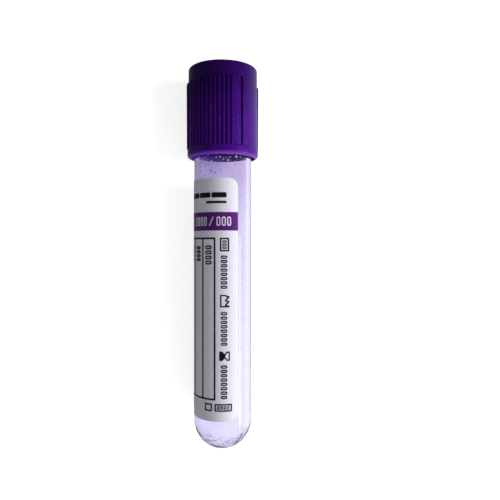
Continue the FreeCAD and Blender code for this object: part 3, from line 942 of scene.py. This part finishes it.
def glow(tree, strength):
    """White light of its own."""
    light = node(tree, "ShaderNodeEmission")
    tree.links.new(strength, light.inputs["Strength"])
    return light.outputs["Emission"]


def make_floor():
    """Pale floor that shows nearly white; in gloss and through clear walls it glows lighter on the key's
    side, as painted light.
    """
    clear_selection()
    bpy.ops.mesh.primitive_plane_add(size=FLOOR_SIZE, location=(0, 0, -FLOOR_DROP))
    floor = bpy.context.object
    floor.name = "pale_floor"
    apply_place(floor)
    finish, tree, shader = material("pale_floor", Base_Color=FLOOR_GREY, Roughness=0.8)
    # Painted light: the floor seen through the tube glows lighter towards the key and the tip
    towards_key = along(tree, FLOOR_LIFT_TOWARDS)
    through_tube = spread(tree, towards_key, FLOOR_LIFT_SPAN, FLOOR_PAINTED_LIGHT_THROUGH_TUBE, "LINEAR")
    lift = chosen(tree, light_path(tree, "Is Camera Ray"), through_tube, FLOOR_LIFT)
    seen = light_path(tree, "Is Camera Ray", "Is Transmission Ray")
    lifted = node(tree, "ShaderNodeAddShader")
    tree.links.new(shader.outputs["BSDF"], lifted.inputs[0])
    tree.links.new(glow(tree, chosen(tree, seen, 0.0, lift)), lifted.inputs[1])
    in_gloss = spread(tree, along(tree, FLOOR_GLOSS_TOWARDS), FLOOR_GLOSS_SPAN, FLOOR_PAINTED_LIGHT_IN_GLOSS)
    choose = node(tree, "ShaderNodeMixShader")
    reflected = node(tree, "ShaderNodeMath", operation="SUBTRACT", use_clamp=True)
    tree.links.new(light_path(tree, "Is Glossy Ray"), reflected.inputs[0])
    tree.links.new(light_path(tree, "Is Transmission Ray"), reflected.inputs[1])
    tree.links.new(reflected.outputs["Value"], choose.inputs["Fac"])
    tree.links.new(lifted.outputs["Shader"], choose.inputs[1])
    tree.links.new(glow(tree, in_gloss), choose.inputs[2])
    tree.links.new(choose.outputs["Shader"], tree.nodes["Material Output"].inputs["Surface"])
    dress(floor, finish)


def make_world():
    """White behind the object; gloss and clear walls show it lighter low on the key's side."""
    world = bpy.data.worlds.new("studio")
    bpy.context.scene.world = world
    world.use_nodes = True
    tree = world.node_tree
    background = tree.nodes["Background"]
    background.inputs["Color"].default_value = (1, 1, 1, 1)
    key_side = along(tree, SKY_TOWARDS, "Generated")
    in_gloss = spread(tree, key_side, SKY_SPAN, SKY_IN_GLOSS)
    through_tube = spread(tree, key_side, SKY_SPAN, SKY_THROUGH_TUBE)
    strength = chosen(tree, light_path(tree, "Is Glossy Ray"), SKY_LIGHT, in_gloss)
    strength = chosen(tree, light_path(tree, "Is Transmission Ray"), strength, through_tube)
    strength = chosen(tree, light_path(tree, "Is Camera Ray"), strength, 1.0)
    tree.links.new(strength, background.inputs["Strength"])


def soft_lamp(name, place, target, width, height, power, in_gloss=False):
    """A broad lamp that faces a target and shows in gloss only where told to."""
    lamp_data = bpy.data.lights.new(name, "AREA")
    lamp_data.shape = "RECTANGLE"
    lamp_data.size = width
    lamp_data.size_y = height
    lamp_data.energy = power
    lamp = bpy.data.objects.new(name, lamp_data)
    bpy.context.scene.collection.objects.link(lamp)
    lamp.location = place
    lamp.rotation_euler = (Vector(target) - Vector(place)).to_track_quat("-Z", "Y").to_euler()
    lamp.visible_glossy = in_gloss
    lamp.visible_transmission = False


def make_camera():
    """Looks square on to the axis, turned a little so that the tube stands left of the middle."""
    outwards = (around(0, 1, 0) - around(0, 0, 0)).normalized()
    sideways = (around(90, 1, 0) - around(90, 0, 0)).normalized()
    turn = math.radians(CAMERA_TURN)
    back = outwards * math.cos(turn) - sideways * math.sin(turn)
    right = sideways * math.cos(turn) + outwards * math.sin(turn)
    eye = around(0, CAMERA_DISTANCE, CAMERA_Z)
    camera_data = bpy.data.cameras.new("camera")
    camera_data.lens = CAMERA_LENS
    camera_data.sensor_width = 36
    camera_data.shift_y = CAMERA_SHIFT_Y
    camera_data.clip_start = 0.005
    camera = bpy.data.objects.new("camera", camera_data)
    bpy.context.scene.collection.objects.link(camera)
    turned = Matrix((right, TUBE_AXIS, back)).transposed().to_4x4()
    camera.matrix_world = Matrix.Translation(eye) @ turned
    bpy.context.scene.camera = camera


# ---------------------------------------------------------------- assembly

dress(make_tube(), clear_plastic())
dress(make_cap(), cap_plastic())
dress(make_stopper(), stopper_rubber())
dress(make_label(), label_paper())
dress(make_band(), printed("violet_print", VIOLET_INK))
dress(make_print(), printed("dark_print", DARK_INK))
dress(make_drops(), drop_gel())

make_floor()
make_world()
soft_lamp("key", place=(0.31, 0.04, 0.35), target=(0, 0, 0), width=0.30, height=0.30, power=1.8)
soft_lamp("front", place=(0.14, -0.44, 0.20), target=(0, 0, 0), width=0.60, height=0.36, power=2.8)
soft_lamp("strip", place=(0.326, -0.115, 0.31), target=(0, -0.115, 0),
          width=0.29, height=0.08, power=0.25, in_gloss=True)
make_camera()
bpy.context.scene.view_settings.view_transform = "Standard"
